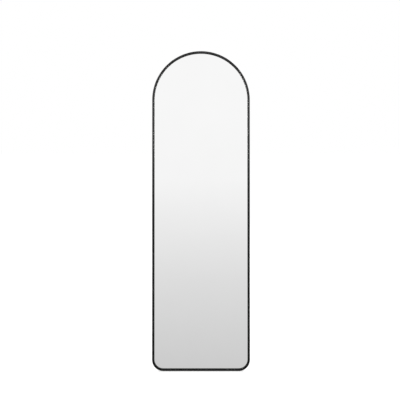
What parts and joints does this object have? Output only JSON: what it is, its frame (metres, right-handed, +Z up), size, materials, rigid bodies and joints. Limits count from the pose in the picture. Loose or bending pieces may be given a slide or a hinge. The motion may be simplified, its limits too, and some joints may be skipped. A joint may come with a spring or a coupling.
{
  "type": "leaning floor mirror",
  "caption": "Tall arched floor mirror in a thin black frame, leaning back on a fold-out tubular stand, with keyhole hangers for a wall.",
  "frame": {"origin": "on the floor, under the middle of the part's footprint", "axes": "+Z up, the glass faces -Y and leans back towards +Y, +X to the right of someone who looks into the mirror"},
  "size_m": [0.55, 0.3384, 1.792],
  "materials": {
    "frame_black": "satin black powder coat on extruded aluminium",
    "silvered_glass": "silvered float glass with a ground edge",
    "hardboard": "black-faced hardboard, slightly mottled",
    "black_steel": "fine-textured black powder coat on steel",
    "zinc_steel": "zinc-plated steel",
    "bare_aluminium": "mill-finish aluminium",
    "black_nylon": "moulded black nylon",
    "black_rubber": "matte black rubber",
    "foam": "closed-cell foam"
  },
  "bodies": {
    "mirror": {"arch_joiner_left": "bare_aluminium", "arch_joiner_right": "bare_aluminium", "backing_board": "hardboard", "board_screws": "zinc_steel", "bonding_tape": "foam", "brace_screws": "zinc_steel", "bracket_nuts": "zinc_steel", "bracket_screws": "zinc_steel", "corner_joiner_left": "bare_aluminium", "corner_joiner_right": "bare_aluminium", "foot_pad_left": "black_rubber", "foot_pad_right": "black_rubber", "frame_arch": "frame_black", "frame_bottom": "frame_black", "frame_side_left": "frame_black", "frame_side_right": "frame_black", "hanger_brace": "black_steel", "hanger_rivets": "zinc_steel", "hinge_bracket_left": "black_steel", "hinge_bracket_right": "black_steel", "hinge_nut_left": "zinc_steel", "hinge_nut_right": "zinc_steel", "hinge_pin_left": "zinc_steel", "hinge_pin_right": "zinc_steel", "joiner_screws": "zinc_steel", "keyhole_hanger_left": "black_steel", "keyhole_hanger_right": "black_steel", "leg_rest_left": "black_rubber", "leg_rest_right": "black_rubber", "lower_brace": "black_steel", "mirror_glass": "silvered_glass", "setting_blocks": "black_rubber", "stand_brace": "black_steel", "support_pads": "foam", "wall_bumpers": "black_rubber"},
    "stand": {"stand_tube": "black_steel", "pivot_bushes_left": "black_nylon", "pivot_bushes_right": "black_nylon", "tube_cap_left": "black_nylon", "tube_cap_right": "black_nylon", "foot_sleeve_left": "black_rubber", "foot_sleeve_right": "black_rubber"}
  },
  "joints": [
    {"name": "stand_fold", "type": "hinge", "parent": "mirror", "child": "stand", "pos_m": [0, 0.00697, 1.09227], "axis": [-1, 0, 0], "range_deg": [0, 15]}
  ]
}
